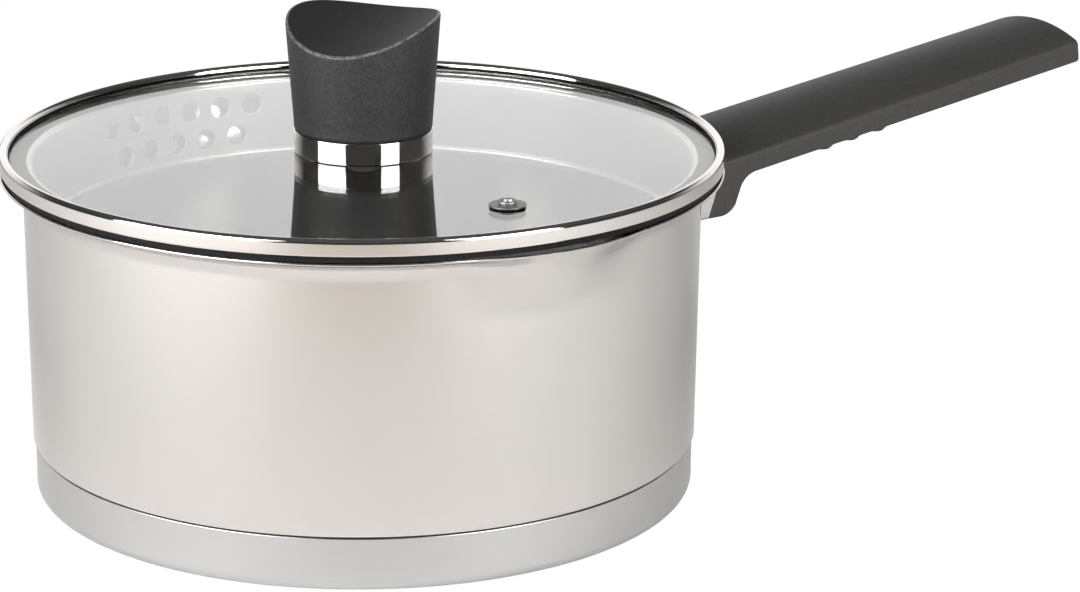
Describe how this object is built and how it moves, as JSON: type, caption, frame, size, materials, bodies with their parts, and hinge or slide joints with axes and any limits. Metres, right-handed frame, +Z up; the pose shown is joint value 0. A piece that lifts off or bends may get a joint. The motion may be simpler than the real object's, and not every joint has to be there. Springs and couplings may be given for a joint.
{
  "type": "saucepan with glass lid",
  "caption": "Round steel saucepan with a thick base, pouring spouts, a flat black bar handle and a lift-off glass lid that strains through holes in its skirt and has a cone knob.",
  "frame": {"origin": "centre of the pan's flat underside, on the surface it stands on", "axes": "+Z up along the pan's axis; +X along the handle, away from the pan; the pouring spouts face +Y and -Y"},
  "size_m": [0.3747, 0.2178, 0.1433],
  "materials": {
    "polished_steel": "stainless steel polished to a mirror",
    "satin_steel": "fine turned satin",
    "sheet_steel": "plain bright sheet",
    "core_aluminium": "pressed, hidden inside the base",
    "grip_plastic": "heat-resisting black plastic, fine satin",
    "knob_plastic": "heat-resisting black plastic, finely grained",
    "seal_rubber": "black silicone",
    "lid_glass": "clear tempered glass",
    "insert_brass": "plain, hidden in the knob",
    "screw_steel": "plain stainless"
  },
  "bodies": {
    "pan": {"pan_body": "polished_steel", "base_core": "core_aluminium", "base_cap": "satin_steel", "handle_bracket": "polished_steel", "handle_grip": "grip_plastic", "handle_screw": "screw_steel", "handle_lock_washer": "screw_steel"},
    "lid_seal": {"glass_gasket": "seal_rubber"},
    "lid": {"lid_glass": "lid_glass", "lid_band": "polished_steel", "strainer_skirt": "sheet_steel", "vent_eyelet": "polished_steel", "vent_seal": "seal_rubber", "vent_washer": "screw_steel", "knob_ferrule": "polished_steel", "knob_body": "knob_plastic", "knob_insert": "insert_brass", "knob_screw": "screw_steel", "knob_washer": "screw_steel", "knob_seal": "seal_rubber"}
  },
  "joints": [
    {"name": "lid_lift", "type": "slide", "parent": "pan", "child": "lid_seal", "axis": [0, 0, 1], "range_m": [0, 0.12]},
    {"name": "lid_turn", "type": "hinge", "parent": "lid_seal", "child": "lid", "pos_m": [0, 0, 0.1], "axis": [0, 0, 1], "continuous": true}
  ]
}
